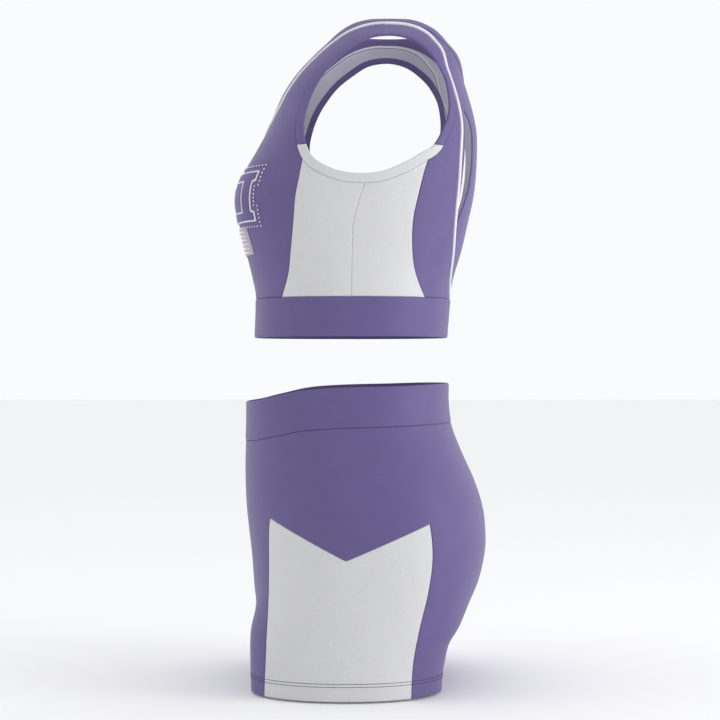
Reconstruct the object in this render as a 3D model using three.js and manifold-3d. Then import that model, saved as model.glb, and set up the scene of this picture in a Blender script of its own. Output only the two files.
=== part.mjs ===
// Two-piece cheer uniform: a racerback crop top and a pair of high-rise fitted shorts.
// Millimetres, +Z up, -Y is the wearer's front, +X the wearer's left.
// The origin is on the floor plane under the middle of the two leg hems.
import * as THREE from "three";
import { mergeVertices } from "three/addons/utils/BufferGeometryUtils.js";
import Module from "manifold-3d";

const wasm = await Module();
wasm.setup();

// Cloth and seams
const CLOTH = 2; // one layer of stretch cloth with its seam allowance
const RAISED = 1; // how far a folded band or binding stands above the panels
const SEAM = 0.3; // gap between two pieces at a seam
const AROUND = 32; // facets round the body

// Both garments are drafted in an adult small, and these sizes grade the draft.
const HIP_WIDTH = 349; // the shorts' widest width
const SHORTS_HEIGHT = 325; // leg hem to the top of the waistband at the back
const CHEST_WIDTH = 272; // the crop top's widest width
const TOP_HEIGHT = 343; // hem to shoulder
const GARMENT_GAP = 50; // bare waist between the two, as worn
const DRAFT = { hip: 349, shorts: 325, chest: 272, top: 343, hemZ: 375 };

// Crop top
const HEM_Z = SHORTS_HEIGHT + GARMENT_GAP; // bottom edge of the crop top
const topZ = (z) => HEM_Z + ((z - DRAFT.hemZ) * TOP_HEIGHT) / DRAFT.top;
const topX = (x) => (x * CHEST_WIDTH) / DRAFT.chest;
const HEM_BAND = 42; // height of the elasticated hem band
const BAND_SEAM_Z = HEM_Z + HEM_BAND;
const SHOULDER_Y = 26; // the shoulder seam
const CORNER_Z = topZ(577); // where the white side panel meets the purple binding
const ARM_BINDING = 10; // width of the armhole binding
const NECK_HALF = topX(62); // half the neck opening at the shoulders
const NECK_BAND = 12; // width of the neck band
const PIPING = 3.7; // width of the white piping
const ELASTIC_MARGIN = 4; // how far an elastic stops short of its band's edges
const REACH = 500; // longer than anything a cutter goes through

// Shorts
const legZ = (z) => (z * SHORTS_HEIGHT) / DRAFT.shorts;
const legX = (x) => (x * HIP_WIDTH) / DRAFT.hip;
const WAISTBAND = 42; // height of the waistband
const LEG_HEM = 17; // depth of the turned-up leg hem
const GUSSET_HALF = 32; // half the width of the crotch gusset
const GUSSET_LENGTH = 66; // half the length of the crotch gusset
const GUSSET_FOOT = legZ(36); // how low the gusset reaches inside the legs
const FORK_Y = -14; // the middle of the fork, front to back

const look = (color, roughness, metalness = 0) =>
  new THREE.MeshStandardMaterial({ color, roughness, metalness });
const purple = () => look(0x6f639f, 0.55);
const white = () => look(0xe9e9ec, 0.6);
const elastic = () => look(0xd8d6e0, 0.8);
const glitter = () => look(0xc9cbd6, 0.25, 0.6);

const group = new THREE.Group();

function add(name, solid, material) {
  const mesh = solid.getMesh();
  const geometry = new THREE.BufferGeometry();
  geometry.setAttribute("position", new THREE.Float32BufferAttribute(mesh.vertProperties, 3));
  geometry.setIndex(new THREE.Uint32BufferAttribute(mesh.triVerts, 1));
  geometry.computeVertexNormals();
  const part = new THREE.Mesh(geometry, material);
  part.name = name;
  group.add(part);
}

function solidFrom(geometry) {
  geometry.deleteAttribute("normal");
  geometry.deleteAttribute("uv");
  const merged = mergeVertices(geometry, 1e-4);
  return new wasm.Manifold(
    new wasm.Mesh({
      numProp: 3,
      vertProperties: new Float32Array(merged.attributes.position.array),
      triVerts: new Uint32Array(merged.index.array),
    }),
  );
}

// A straight prism of an outline, swept from `from` to `to` along one axis.
// Along x the outline is (y, z); along y it is (x, z); along z it is (x, y).
function prism(axis, outline, from, to) {
  const shape = new THREE.Shape(outline.map(([u, v]) => new THREE.Vector2(u, v)));
  const geometry = new THREE.ExtrudeGeometry(shape, { depth: to - from, bevelEnabled: false });
  const turn = new THREE.Matrix4();
  if (axis === "x") {
    turn.set(0, 0, 1, from, 1, 0, 0, 0, 0, 1, 0, 0, 0, 0, 0, 1);
  } else if (axis === "y") {
    turn.set(1, 0, 0, 0, 0, 0, -1, to, 0, 1, 0, 0, 0, 0, 0, 1);
  } else {
    turn.set(1, 0, 0, 0, 0, 1, 0, 0, 0, 0, 1, from, 0, 0, 0, 1);
  }
  geometry.applyMatrix4(turn);
  return solidFrom(geometry);
}

function block(x0, x1, y0, y1, z0, z1) {
  const geometry = new THREE.BoxGeometry(x1 - x0, y1 - y0, z1 - z0);
  geometry.translate((x0 + x1) / 2, (y0 + y1) / 2, (z0 + z1) / 2);
  return solidFrom(geometry);
}

function smooth(points, count, closed = false) {
  const curve = new THREE.CatmullRomCurve3(
    points.map(([u, v]) => new THREE.Vector3(u, v, 0)), closed, "centripetal");
  const list = curve.getPoints(count).map((p) => [p.x, p.y]);
  if (closed) list.pop();
  return list;
}

// Moves a line sideways by `by`: to its right when it is walked from first to last.
function beside(line, by, closed = false) {
  return line.map(([u, v], i) => {
    const before = line[i - 1] ?? (closed ? line[line.length - 1] : line[i]);
    const after = line[i + 1] ?? (closed ? line[0] : line[i]);
    const du = after[0] - before[0];
    const dv = after[1] - before[1];
    const length = Math.hypot(du, dv);
    return [u + (by * dv) / length, v - (by * du) / length];
  });
}

// Lines of the crop top's draft, seen from the side as (y, z) and from the front as (x, z).
const fromSide = (points) => points.map(([y, z]) => [y, topZ(z)]);
const fromFront = (points) => points.map(([x, z]) => [topX(x), topZ(z)]);
const mirrorLine = (line) => line.map(([u, v]) => [-u, v]).reverse();
const mirrored = (solid) => solid.mirror([1, 0, 0]);

// A stack of body sections: a turned cylinder whose every ring is moved out to its section.
function stack(stations, ringPoint) {
  const top = stations.length - 1;
  const profile = [new THREE.Vector2(0, 0)];
  stations.forEach((_, i) => profile.push(new THREE.Vector2(1, i)));
  profile.push(new THREE.Vector2(0, top));
  const geometry = new THREE.LatheGeometry(profile, AROUND);
  const at = geometry.attributes.position;
  for (let i = 0; i < at.count; i++) {
    const level = Math.round(at.getY(i));
    const radius = Math.hypot(at.getX(i), at.getZ(i));
    const angle = Math.atan2(at.getX(i), at.getZ(i));
    const step = Math.round((angle / (2 * Math.PI)) * AROUND);
    const turn = (((step + AROUND) % AROUND) * 2 * Math.PI) / AROUND;
    const [x, y] = ringPoint(stations[level], turn, radius > 0.5);
    at.setXYZ(i, x, y, stations[level][0]);
  }
  const solid = solidFrom(geometry);
  return solid.volume() < 0 ? solidFrom(flipped(geometry)) : solid;
}

function flipped(geometry) {
  const index = geometry.index.array;
  for (let i = 0; i < index.length; i += 3) {
    [index[i + 1], index[i + 2]] = [index[i + 2], index[i + 1]];
  }
  return geometry;
}

// One point of a rounded-square ring of half sizes a and b.
function ringAt(a, b, power, turn) {
  const c = Math.sin(turn);
  const s = Math.cos(turn);
  const reach = 1 / (Math.abs(c) ** power + Math.abs(s) ** power) ** (1 / power);
  return [a * c * reach, b * s * reach];
}

// ---------------------------------------------------------------- crop top
// The bust and shoulders: height, half width, front, back.
const TORSO = [
  [HEM_Z, topX(130), -116, 96],
  [BAND_SEAM_Z, topX(132), -115, 99.5],
  [topZ(440), topX(133), -119, 103],
  [topZ(470), topX(134), -127, 112],
  [topZ(500), topX(136), -135, 119],
  [topZ(527), topX(136), -138, 125],
  [topZ(550), topX(136), -132, 128],
  [topZ(577), topX(135.5), -117, 129.3],
  [topZ(600), topX(134), -104, 129],
  [topZ(620), topX(131), -95, 125.5],
  [topZ(640), topX(127.5), -87, 120],
  [topZ(660), topX(122), -74.5, 114],
  [topZ(680), topX(112), -57, 111],
  [topZ(694), topX(100), -44, 103],
  [topZ(706), topX(84), -36, 98],
  [topZ(714), topX(73), -28, 90],
  [topZ(718), topX(66), -18, 82],
];
const TORSO_POWER = 2.4;

function torso(offset, extraBelow = 0) {
  const stations = TORSO.map(([z, half, front, back]) => [
    z, half + offset, front - offset, back + offset,
  ]);
  stations[0] = [HEM_Z - extraBelow, ...stations[0].slice(1)];
  const last = stations[stations.length - 1];
  stations[stations.length - 1] = [last[0] + offset, ...last.slice(1)];
  return stack(stations, ([, half, front, back], turn, onRim) => {
    const middle = (front + back) / 2;
    if (!onRim) return [0, middle];
    const [x, y] = ringAt(half, (back - front) / 2, TORSO_POWER, turn);
    return [x, middle + y];
  });
}

const torsoShell = (outer, inner) => torso(outer).subtract(torso(inner, 10));
const panelCloth = torsoShell(0, -CLOTH);
const bandCloth = torsoShell(RAISED, -CLOTH);
const frontHalf = (to = 0) => block(-REACH, REACH, -REACH, SHOULDER_Y + to, 0, 2 * REACH);
const backHalf = (from = 0) => block(-REACH, REACH, SHOULDER_Y + from, REACH, 0, 2 * REACH);
const leftSide = (from = 0) => block(from, REACH, -REACH, REACH, 0, 2 * REACH);
const above = (z) => block(-REACH, REACH, -REACH, REACH, z, 2 * REACH);
const below = (z) => block(-REACH, REACH, -REACH, REACH, -REACH, z);

// The armhole, seen from the side: walked clockwise, so `beside` with a minus sign grows it.
const armholeLine = smooth(fromSide([
  [-59.7, 597], [-56.7, 615], [-49.5, 634.7], [-26.4, 668], [8.5, 692], [26.5, 695.5],
  [42.5, 694.4], [58.3, 688.6], [74, 676], [91.7, 645.6], [94.8, 622], [91.5, 603],
  [78.7, 577.6], [64.6, 568], [46, 557], [22, 547.5], [-2, 545.4], [-26, 549.5], [-47, 561],
  [-56.5, 576],
]), 30, true);
// Where the strap turns away from the side, a width on the cloth looks narrower from the side.
const SLANT = 0.42;
function armhole(grow) {
  const grown = beside(armholeLine, -1, true);
  const line = armholeLine.map(([y, z], i) => {
    const slanted = THREE.MathUtils.clamp(Math.max((y - 40) / 45, (z - topZ(640)) / 45), 0, 1);
    const by = grow * (1 - SLANT * slanted);
    return [y + (grown[i][0] - y) * by, z + (grown[i][1] - z) * by];
  });
  return prism("x", line, topX(60), REACH);
}

// The white side panel: its front edge, its back edge and the side seam down its middle.
const sideFront = [
  ...fromSide([[-57.5, 577], [-63, 548], [-68, 522], [-70, 498], [-73, 467], [-76, 441]]),
  [-83, BAND_SEAM_Z],
];
const sideBack = [
  ...fromSide([[78, 577], [69, 553], [61, 522], [56, 498], [55, 472], [57, 450], [62, 433]]),
  [69, BAND_SEAM_Z],
];
const sideSeam = [
  ...fromSide([[8, 577], [4.8, 537], [-2, 515], [-7.3, 491], [-8.3, 462]]),
  [-9.4, BAND_SEAM_Z],
];
const tailBelow = (line, drop = 20) => [...line, [line[line.length - 1][0], BAND_SEAM_Z - drop]];

function betweenLines(frontLine, backLine) {
  return prism("x", [...tailBelow(frontLine), ...tailBelow(backLine).reverse()], 20, REACH);
}

const frontEdge = smooth(sideFront, 7);
const backEdge = smooth(sideBack, 7);
const seamEdge = smooth(sideSeam, 5);
const halfGap = SEAM / 2;
// Walked downwards, a line's right-hand side is towards -y.
const sideHole = betweenLines(beside(frontEdge, halfGap), beside(backEdge, -halfGap))
  .subtract(above(CORNER_Z));
const sideFrontCut = betweenLines(beside(frontEdge, -halfGap), beside(seamEdge, halfGap));
const sideBackCut = betweenLines(beside(seamEdge, -halfGap), beside(backEdge, halfGap));

function sidePanel(cut) {
  return panelCloth.intersect(cut).subtract(armhole(ARM_BINDING + SEAM))
    .intersect(above(BAND_SEAM_Z + SEAM));
}

// The neck opening, seen from the front: the front scoop and the shallow back scoop, left half.
const frontNeck = smooth(fromFront([
  [0, 610], [25, 614], [44, 630], [56, 655], [61, 688], [62, 704], [62, 735],
]), 12);
const backNeck = smooth(fromFront([
  [0, 668], [30, 672], [50, 684], [60, 698], [62, 708], [62, 735],
]), 11);

function scoop(line, grow, y0, y1) {
  const half = beside(line, grow);
  half[0] = [0, line[0][1] - grow];
  return prism("y", [...mirrorLine(half.slice(1)), ...half], y0, y1);
}

const frontScoop = (grow) => scoop(frontNeck, grow, -REACH, SHOULDER_Y + 1);
const backScoop = (grow) => scoop(backNeck, grow, SHOULDER_Y - 1, REACH);

// Where the piping crosses the shoulder, just outside the neck band.
const PIPING_TOP = NECK_HALF + NECK_BAND + SEAM + PIPING / 2;
// The piping line down the back: over the shoulder blade and in to the hem at the spine.
const pipingLine = smooth([
  [PIPING_TOP, topZ(735)], [PIPING_TOP, topZ(720)], [PIPING_TOP, topZ(704)],
  ...fromFront([
    [76.5, 690], [77.5, 668], [79, 640], [81.5, 615], [85.5, 587], [87, 555], [84.5, 523],
    [79, 495], [71, 470],
  ]),
  [topX(57), topZ(445)], [topX(43), BAND_SEAM_Z + 11], [topX(32), BAND_SEAM_Z],
], 20);
// The cutout on each side of the back: a leaf between the piping and the middle of the back.
const cutoutLine = smooth(fromFront([
  [95, 614], [78, 612], [66, 603], [56, 587], [51, 568], [50, 552], [53, 533], [61, 512],
  [72, 495], [84, 484], [95, 480],
]), 14);

const pipingFoot = [pipingLine[pipingLine.length - 1][0], BAND_SEAM_Z - 10];
// Walked downwards, the piping line's right-hand side is towards the spine.
const backPipingCut = prism("y", [
  ...beside([...pipingLine, pipingFoot], PIPING / 2),
  ...beside([...pipingLine, pipingFoot], -PIPING / 2).reverse(),
], SHOULDER_Y - 0.5, REACH);
const backCentre = (grow) => {
  const half = beside([...pipingLine, pipingFoot], -grow);
  return prism("y", [...half, ...mirrorLine(half)], SHOULDER_Y - 1, REACH);
};
const backCutout = prism("y", cutoutLine, SHOULDER_Y, REACH);

// Front panel: one piece from the hem seam to both shoulder seams.
let frontPanel = panelCloth.intersect(frontHalf(-halfGap))
  .intersect(above(BAND_SEAM_Z + SEAM));
frontPanel = frontPanel.subtract(frontScoop(NECK_BAND + PIPING + 2 * SEAM));
for (const hole of [sideHole, armhole(ARM_BINDING + SEAM)]) {
  frontPanel = frontPanel.subtract(hole).subtract(mirrored(hole));
}
add("top_front_panel", frontPanel, purple());

// Back panels: from the shoulder seam down beside each cutout.
const backPanel = panelCloth.intersect(backHalf(halfGap)).intersect(above(BAND_SEAM_Z + SEAM))
  .subtract(sideHole).subtract(armhole(ARM_BINDING + SEAM)).subtract(backCentre(PIPING / 2 + SEAM))
  .intersect(leftSide(1));
add("top_back_panel_left", backPanel, purple());
add("top_back_panel_right", mirrored(backPanel), purple());

// White side panels, front and back of the side seam.
add("top_side_front_left", sidePanel(sideFrontCut), white());
add("top_side_front_right", mirrored(sidePanel(sideFrontCut)), white());
add("top_side_back_left", sidePanel(sideBackCut), white());
add("top_side_back_right", mirrored(sidePanel(sideBackCut)), white());

// Neck band: all round the neck opening.
const frontBand = bandCloth.intersect(frontHalf())
  .intersect(frontScoop(NECK_BAND)).subtract(frontScoop(0));
const backBand = bandCloth.intersect(backHalf())
  .intersect(backScoop(NECK_BAND)).subtract(backScoop(0));
add("top_neck_band", frontBand.add(backBand), purple());

// Racerback: the middle of the back, between the two lines of piping, with a leaf-shaped
// cutout on each side.
const racerback = panelCloth.intersect(backCentre(-PIPING / 2 - SEAM))
  .intersect(backHalf(halfGap)).intersect(above(BAND_SEAM_Z + SEAM))
  .subtract(backScoop(NECK_BAND + SEAM)).subtract(backCutout).subtract(mirrored(backCutout));
add("top_racerback", racerback, purple());

// Piping: from the hem up one side of the back, round the front neckline and down the other.
const pipingShell = torsoShell(RAISED + 0.8, -CLOTH).intersect(above(BAND_SEAM_Z + SEAM));
const frontPiping = pipingShell.intersect(frontHalf(0.5))
  .intersect(frontScoop(NECK_BAND + PIPING + SEAM)).subtract(frontScoop(NECK_BAND + SEAM));
const backPiping = pipingShell.intersect(backPipingCut);
add("top_piping", frontPiping.add(backPiping).add(mirrored(backPiping)), white());

// Armhole bindings: purple round the shoulder, white under the arm.
const armRing = bandCloth.intersect(armhole(ARM_BINDING)).subtract(armhole(0));
const armBinding = armRing.intersect(above(CORNER_Z + halfGap));
const underarmBinding = armRing.intersect(below(CORNER_Z - halfGap));
add("top_armhole_binding_left", armBinding, purple());
add("top_armhole_binding_right", mirrored(armBinding), purple());
add("top_underarm_binding_left", underarmBinding, white());
add("top_underarm_binding_right", mirrored(underarmBinding), white());

// Hem band with the elastic behind it.
add("top_hem_band", bandCloth.intersect(below(BAND_SEAM_Z)), purple());
const topElastic = torsoShell(-CLOTH - SEAM, -2 * CLOTH)
  .intersect(above(HEM_Z + ELASTIC_MARGIN)).intersect(below(BAND_SEAM_Z - ELASTIC_MARGIN));
add("top_hem_elastic", topElastic, elastic());

// Chest emblem: a plain wide slab-ended plaque in two layers, with a glitter bar under it.
const EMBLEM_Z = topZ(498); // bottom of the emblem
const EMBLEM_HEIGHT = 54;
const EMBLEM_HALF = 95; // half its width
const SLAB = 11; // height of the slab at each corner
const STEP_IN = 7; // how far the stem stands back from the slabs
const SLOPE = 2; // height of the slope between a slab and the stem
const OUTLINE = 2; // width of the white outline left round the purple face

function plaque(inset) {
  const z0 = EMBLEM_Z + inset;
  const z1 = EMBLEM_Z + EMBLEM_HEIGHT - inset;
  const x = EMBLEM_HALF - inset;
  const stem = x - STEP_IN;
  const slab = SLAB - inset / 2;
  const right = [
    [x, z0], [x, z0 + slab], [stem, z0 + slab + SLOPE],
    [stem, z1 - slab - SLOPE], [x, z1 - slab], [x, z1],
  ];
  return [...right, ...right.map(([u, v]) => [-u, v]).reverse()];
}

const onChest = (outline, under, over) =>
  torsoShell(over, under).intersect(prism("y", outline, -REACH, 0));
add("emblem_backing", onChest(plaque(0), SEAM, SEAM + 1), white());
add("emblem_face", onChest(plaque(OUTLINE), 2 * SEAM + 1, 2 * SEAM + 2), purple());
const BAR_HALF = 74; // half the width of the glitter bar
const BAR_HEIGHT = 28;
const BAR_Z = EMBLEM_Z - BAR_HEIGHT - 6; // 6 mm below the emblem
const barOutline = [
  [-BAR_HALF, BAR_Z], [BAR_HALF, BAR_Z],
  [BAR_HALF, BAR_Z + BAR_HEIGHT], [-BAR_HALF, BAR_Z + BAR_HEIGHT],
];
add("emblem_glitter_bar", onChest(barOutline, SEAM, SEAM + 1), glitter());

// ---------------------------------------------------------------- shorts
// One leg and its half of the hips: height, outer side, inner side, front, back.
const PAST_MIDDLE = -30; // each half is cut at the middle, where the two join
const LEG = [
  [legZ(0), legX(170), 8, -116, 87],
  [legZ(20), legX(171), 7, -116.5, 88.5],
  [legZ(40), legX(171.5), 5, -117, 93],
  [legZ(55), legX(172), 3, -117, 100],
  [legZ(70), legX(172.5), -1, -117, 109],
  [legZ(85), legX(173), -15, -116.5, 118],
  [legZ(110), legX(174), PAST_MIDDLE, -117, 130],
  [legZ(140), legX(174.5), PAST_MIDDLE, -119, 137],
  [legZ(162), legX(174.5), PAST_MIDDLE, -121.5, 138],
  [legZ(190), legX(172), PAST_MIDDLE, -124.5, 135],
  [legZ(220), legX(164), PAST_MIDDLE, -126, 125.5],
  [legZ(250), legX(153), PAST_MIDDLE, -126, 112],
  [legZ(279), legX(142), PAST_MIDDLE, -125, 101],
  [legZ(303), legX(137.5), PAST_MIDDLE, -125, 97.5],
  [legZ(326), legX(137), PAST_MIDDLE, -125.5, 97.5],
];
const LEG_POWER = 2.1;
const HIP_POWER = 2.6;
const HIP_FROM = legZ(55);
const HIP_FULL = legZ(110);

// Where a ray from the middle of the half meets the hip ring.
function hipPoint(centre, half, depth, inner, turn) {
  const c = Math.sin(turn);
  const s = Math.cos(turn);
  let near = 0;
  let far = half + depth;
  for (let i = 0; i < 40; i++) {
    const reach = (near + far) / 2;
    const x = centre + c * reach;
    const y = s * reach;
    const out = (Math.abs(x) / half) ** HIP_POWER + (Math.abs(y) / depth) ** HIP_POWER;
    if (x > inner && out < 1) near = reach;
    else far = reach;
  }
  return [centre + c * near, s * near];
}

function legStack(offset, extra) {
  const stations = LEG.map(([z, outer, inner, front, back]) => [
    z, outer + offset, inner > PAST_MIDDLE ? inner - offset : inner, front - offset, back + offset,
  ]);
  stations[0][0] -= extra;
  stations[stations.length - 1][0] += extra;
  return stack(stations, ([z, outer, inner, front, back], turn, onRim) => {
    const centre = (outer + inner) / 2;
    const middle = (front + back) / 2;
    if (!onRim) return [centre, middle];
    const depth = (back - front) / 2;
    const mix = THREE.MathUtils.smoothstep(z, HIP_FROM, HIP_FULL);
    const leg = ringAt((outer - inner) / 2, depth, LEG_POWER, turn);
    const hip = hipPoint(centre, outer, depth, inner, turn);
    return [
      (centre + leg[0]) * (1 - mix) + hip[0] * mix,
      middle + leg[1] * (1 - mix) + hip[1] * mix,
    ];
  });
}

function shortsBody(offset, extra = 0) {
  const half = legStack(offset, extra).intersect(leftSide());
  return half.add(mirrored(half));
}

const shortsShell = (outer, inner) => shortsBody(outer).subtract(shortsBody(inner, 10));
const legCloth = shortsShell(0, -CLOTH);

// The waistband dips at the front: its top edge and its seam, seen from the side.
const legSide = (points) => points.map(([y, z]) => [y, legZ(z)]);
const waistTop = smooth(legSide([
  [-200, 303], [-127, 305], [-95, 311], [-60, 318.5], [-20, 321.5], [35, 323],
  [100, 325], [200, 325],
]), 10);
const waistSeam = waistTop.map(([y, z]) => [y, z - WAISTBAND]);
function underLine(line, drop) {
  const edge = line.map(([y, z]) => [y, z - drop]);
  return prism("x", [...edge, [200, -50], [-200, -50]], -REACH, REACH);
}
const waistShell = shortsShell(RAISED, -CLOTH)
  .intersect(underLine(waistTop, 0)).subtract(underLine(waistSeam, 0));
add("shorts_waistband", waistShell, purple());
const waistElastic = shortsShell(-CLOTH - SEAM, -2 * CLOTH)
  .intersect(underLine(waistTop, ELASTIC_MARGIN)).subtract(underLine(waistSeam, -ELASTIC_MARGIN));
add("shorts_waist_elastic", waistElastic, elastic());

// The white insert on the outside of each thigh, with its dipped top edge.
const insertFront = smooth(legSide([
  [-94.3, 185.5], [-95.5, 168], [-96, 111], [-98, 52], [-100, 4], [-100, -20],
]), 6);
const insertBack = smooth(legSide([
  [72, 182], [74.5, 161], [74.5, 138], [69.7, 107], [61.4, 72], [55.5, 39], [53.8, 15], [53, -20],
]), 8);
const insertDip = legSide([[-14.5, 144.5]]);
function insertOutline(grow) {
  const back = beside(insertBack, -grow);
  const front = beside(insertFront, grow);
  const dip = insertDip.map(([y, z]) => [y, z + grow]);
  front[0] = [front[0][0], insertFront[0][1] + grow];
  back[0] = [back[0][0], insertBack[0][1] + grow];
  return [...front, ...back.reverse(), ...dip];
}
const insertCut = (grow) => prism("x", insertOutline(grow), legX(92), REACH);
const insertLeft = legCloth.intersect(insertCut(-halfGap));
add("shorts_side_insert_left", insertLeft, white());
add("shorts_side_insert_right", mirrored(insertLeft), white());

// Crotch gusset: a long diamond across the fork, reaching a little way inside each leg.
const gussetOutline = (grow) => [
  [GUSSET_HALF + grow, FORK_Y], [0, FORK_Y + GUSSET_LENGTH + grow],
  [-GUSSET_HALF - grow, FORK_Y], [0, FORK_Y - GUSSET_LENGTH - grow],
];
const gussetCut = (grow) => prism("z", gussetOutline(grow), GUSSET_FOOT - grow, legZ(130));
add("shorts_gusset", legCloth.intersect(gussetCut(0)), purple());

// Each leg panel wraps the thigh in one piece; the two meet at the centre front and centre back.
const legPanel = legCloth.intersect(underLine(waistSeam, SEAM)).intersect(leftSide(halfGap))
  .subtract(insertCut(halfGap)).subtract(gussetCut(SEAM));
add("shorts_leg_panel_left", legPanel, purple());
add("shorts_leg_panel_right", mirrored(legPanel), purple());

// The turned-up hem inside each leg.
const FACING = 1.2; // thickness of the turned-up cloth
const hemFacing = shortsShell(-CLOTH - SEAM, -CLOTH - SEAM - FACING)
  .intersect(leftSide()).intersect(above(1)).intersect(below(LEG_HEM));
add("shorts_leg_hem_left", hemFacing, purple());
add("shorts_leg_hem_right", mirrored(hemFacing), purple());

export default group;
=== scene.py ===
import math

import bmesh
import bpy
import numpy as np
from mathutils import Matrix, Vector
from mathutils.kdtree import KDTree


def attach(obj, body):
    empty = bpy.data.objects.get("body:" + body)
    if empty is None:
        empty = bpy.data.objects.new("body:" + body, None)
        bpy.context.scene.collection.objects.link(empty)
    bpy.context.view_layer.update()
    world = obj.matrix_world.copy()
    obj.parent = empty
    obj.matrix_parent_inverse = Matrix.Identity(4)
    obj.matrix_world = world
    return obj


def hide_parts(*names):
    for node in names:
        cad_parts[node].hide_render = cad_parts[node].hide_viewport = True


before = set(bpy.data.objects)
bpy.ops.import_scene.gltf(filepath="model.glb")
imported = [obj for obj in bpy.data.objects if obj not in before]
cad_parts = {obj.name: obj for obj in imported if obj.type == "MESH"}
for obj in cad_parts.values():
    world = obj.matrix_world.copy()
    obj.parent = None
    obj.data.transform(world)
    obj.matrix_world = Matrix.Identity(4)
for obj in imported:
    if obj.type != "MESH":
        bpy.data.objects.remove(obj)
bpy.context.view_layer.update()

# The camera stands level with the middle of the outfit, square to the wearer's left side,
# a little over two metres off.
eye = bpy.data.objects.new("Camera", bpy.data.cameras.new("Camera"))
bpy.context.collection.objects.link(eye)
eye.data.lens = 96.7
eye.data.sensor_width = 36
eye.location = (2.15, 0, 0.3505)
eye.rotation_euler = (math.radians(90), 0, math.radians(90))
bpy.context.scene.camera = eye

# A pale studio: a white floor, a big soft light on the front and another on the back, and a
# sky that is dimmer on the camera's side, so that the middle of the outfit falls a little
# darker than its edges.
bpy.ops.mesh.primitive_plane_add(size=30, location=(0, 0, -0.002))
floor = bpy.context.object
floor.name = "studio_floor"
pale = bpy.data.materials.new("pale floor")
pale.use_nodes = True
pale_shader = pale.node_tree.nodes["Principled BSDF"]
pale_shader.inputs["Base Color"].default_value = (0.93, 0.93, 0.94, 1)
pale_shader.inputs["Roughness"].default_value = 0.9
floor.data.materials.append(pale)


def softbox(name, place, aim, size, watts):
    data = bpy.data.lights.new(name, "AREA")
    data.shape = "DISK"
    data.size = size
    data.energy = watts
    lamp = bpy.data.objects.new(name, data)
    bpy.context.collection.objects.link(lamp)
    lamp.location = place
    lamp.rotation_euler = (Vector(aim) - Vector(place)).to_track_quat("-Z", "Y").to_euler()


softbox("front_softbox", (0.7, -2.4, 1.3), (0, 0, 0.4), 1.5, 5)
softbox("back_softbox", (1.0, 2.4, 0.7), (0, 0, 0.2), 1.5, 26)
overhead = bpy.data.objects.new("overhead", bpy.data.lights.new("overhead", "SUN"))
overhead.data.energy = 0.62
overhead.data.angle = math.radians(70)
bpy.context.collection.objects.link(overhead)
sky = bpy.data.worlds.new("studio")
sky.use_nodes = True
nodes, links = sky.node_tree.nodes, sky.node_tree.links
nodes["Background"].inputs["Color"].default_value = (0.98, 0.985, 1, 1)
place = nodes.new("ShaderNodeTexCoord")
axes = nodes.new("ShaderNodeSeparateXYZ")
links.new(place.outputs["Generated"], axes.inputs["Vector"])
fade = nodes.new("ShaderNodeMapRange")
fade.inputs["From Min"].default_value = -0.5
fade.inputs["From Max"].default_value = 0.6
fade.inputs["To Min"].default_value = 0.98
fade.inputs["To Max"].default_value = 0.53
links.new(axes.outputs["X"], fade.inputs["Value"])
links.new(fade.outputs["Result"], nodes["Background"].inputs["Strength"])
bpy.context.scene.world = sky
bpy.context.scene.view_settings.view_transform = "Standard"

# The shape that the crop top takes when worn: rings of the bust, back and shoulders, in
# millimetres as height, half width, front and back. Every panel of the top is cut from it.
TORSO = [
    (375, 130, -116, 96), (417, 132, -115, 99.5), (440, 133, -119, 103), (470, 134, -127, 112),
    (500, 136, -135, 119), (527, 136, -138, 125), (550, 136, -132, 128), (577, 135.5, -117, 129.3),
    (600, 134, -104, 129), (620, 131, -95, 125.5), (640, 127.5, -87, 120), (660, 122, -74.5, 114),
    (680, 112, -57, 111), (694, 100, -44, 103), (706, 84, -36, 98), (714, 73, -28, 90),
    (718, 66, -18, 82),
]
AROUND = 288  # points on each ring
RING_GAP = 2.6  # millimetres between rings
BUST_X, BUST_Z, BUST_REACH = 72, 527, 46  # the fullest place on each side, and how far it spreads
TURNS = np.arange(AROUND) * 2 * np.pi / AROUND


def eased(p, t):
    """The point at share t between the middle two of four points, on a smooth line."""
    a, b = (p[2] - p[0]) / 2, (p[3] - p[1]) / 2
    near_start = (2 * t**3 - 3 * t**2 + 1) * p[1] + (t**3 - 2 * t**2 + t) * a
    return near_start + (3 * t**2 - 2 * t**3) * p[2] + (t**3 - t**2) * b


def between(rings, u):
    """The ring at place u along the list, smoothly between the listed ones."""
    i = min(int(u), len(rings) - 2)
    four = [np.array(rings[max(0, min(len(rings) - 1, i + k))], float) for k in (-1, 0, 1, 2)]
    return eased(four, u - i)


def ring_at(a, b, power, turn):
    """A rounded oblong's points, with half sizes a and b. A higher power makes it squarer."""
    s, c = np.sin(turn), np.cos(turn)
    reach = (np.abs(s) ** power + np.abs(c) ** power) ** (-1 / power)
    return a * s * reach, b * c * reach


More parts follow.
